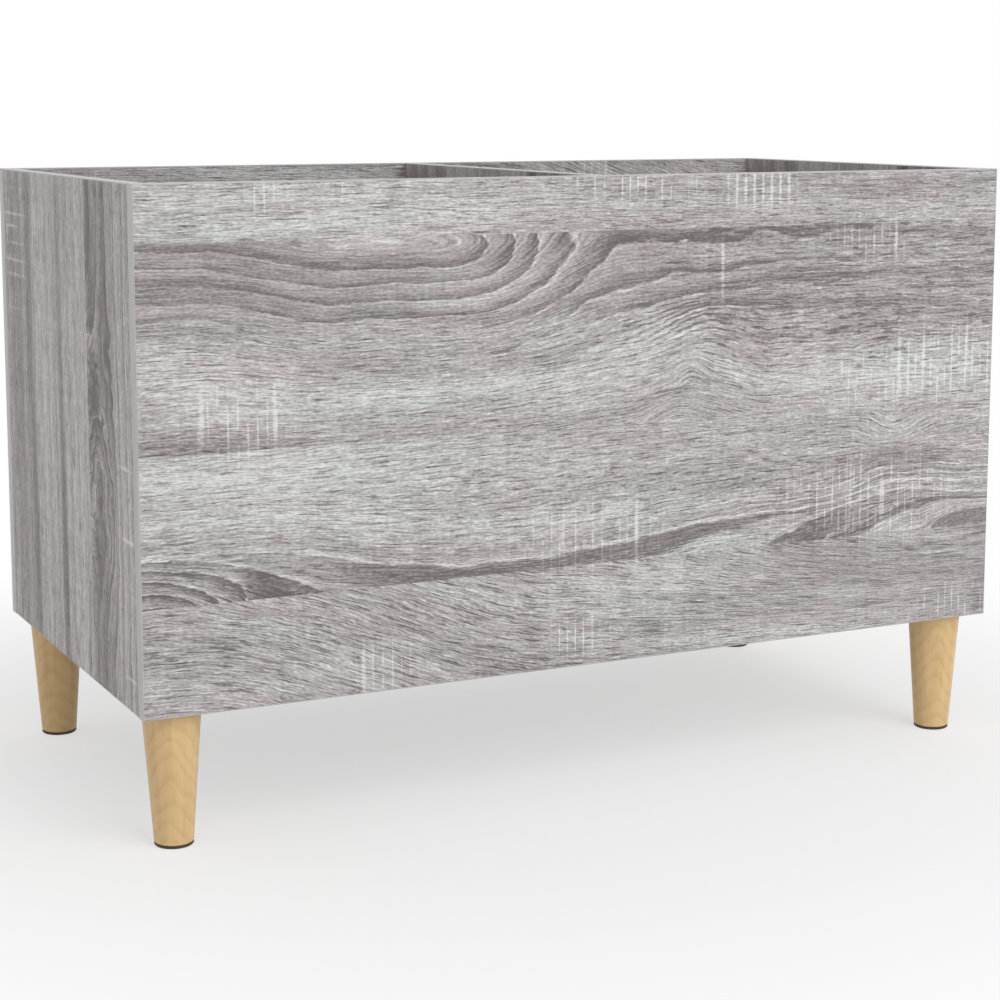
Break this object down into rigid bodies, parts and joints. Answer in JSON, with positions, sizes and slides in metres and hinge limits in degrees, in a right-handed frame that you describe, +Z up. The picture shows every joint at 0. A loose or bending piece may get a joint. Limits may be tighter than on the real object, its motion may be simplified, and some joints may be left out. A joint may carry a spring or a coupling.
{
  "type": "record cabinet",
  "caption": "Low open-topped record cabinet of thin grey oak decor boards, split into two bays by a divider, on short tapered wooden legs.",
  "frame": {"origin": "on the floor, under the middle of the footprint", "axes": "+Z up, +X to the right along the cabinet's length, +Y from the front to the back, so that -Y is the front"},
  "size_m": [0.745, 0.38, 0.483],
  "materials": {
    "grey_oak_decor": "chipboard with a matt printed oak decor, grey with pale streaks",
    "grey_edging": "satin plastic edging, plain light grey",
    "tongue_plywood": "bare birch plywood",
    "block_pine": "planed bare pine",
    "leg_oak": "turned solid oak, oiled matt",
    "glide_plastic": "moulded dark brown nylon, satin",
    "zinc_plated_steel": "bright zinc plating, slightly dull"
  },
  "bodies": {
    "root": {"front_panel": "grey_oak_decor", "back_panel": "grey_oak_decor", "left_side_panel": "grey_oak_decor", "right_side_panel": "grey_oak_decor", "bottom_panel": "grey_oak_decor", "centre_divider": "grey_oak_decor", "right_record_floor": "grey_oak_decor", "left_record_floor": "grey_oak_decor", "front_panel_rim_bands": "grey_edging", "back_panel_rim_bands": "grey_edging", "front_panel_end_bands": "grey_edging", "back_panel_end_bands": "grey_edging", "left_side_rim_bands": "grey_edging", "right_side_rim_bands": "grey_edging", "divider_rim_band": "grey_edging", "corner_tongues": "tongue_plywood", "divider_tongues": "tongue_plywood", "bottom_tongues": "tongue_plywood", "divider_blocks": "block_pine", "front_left_corner_block": "block_pine", "front_right_corner_block": "block_pine", "back_left_corner_block": "block_pine", "back_right_corner_block": "block_pine", "front_legs": "leg_oak", "back_legs": "leg_oak", "front_leg_glides": "glide_plastic", "back_leg_glides": "glide_plastic", "leg_hanger_bolts": "zinc_plated_steel", "leg_threaded_sleeves": "zinc_plated_steel"}
  },
  "joints": []
}
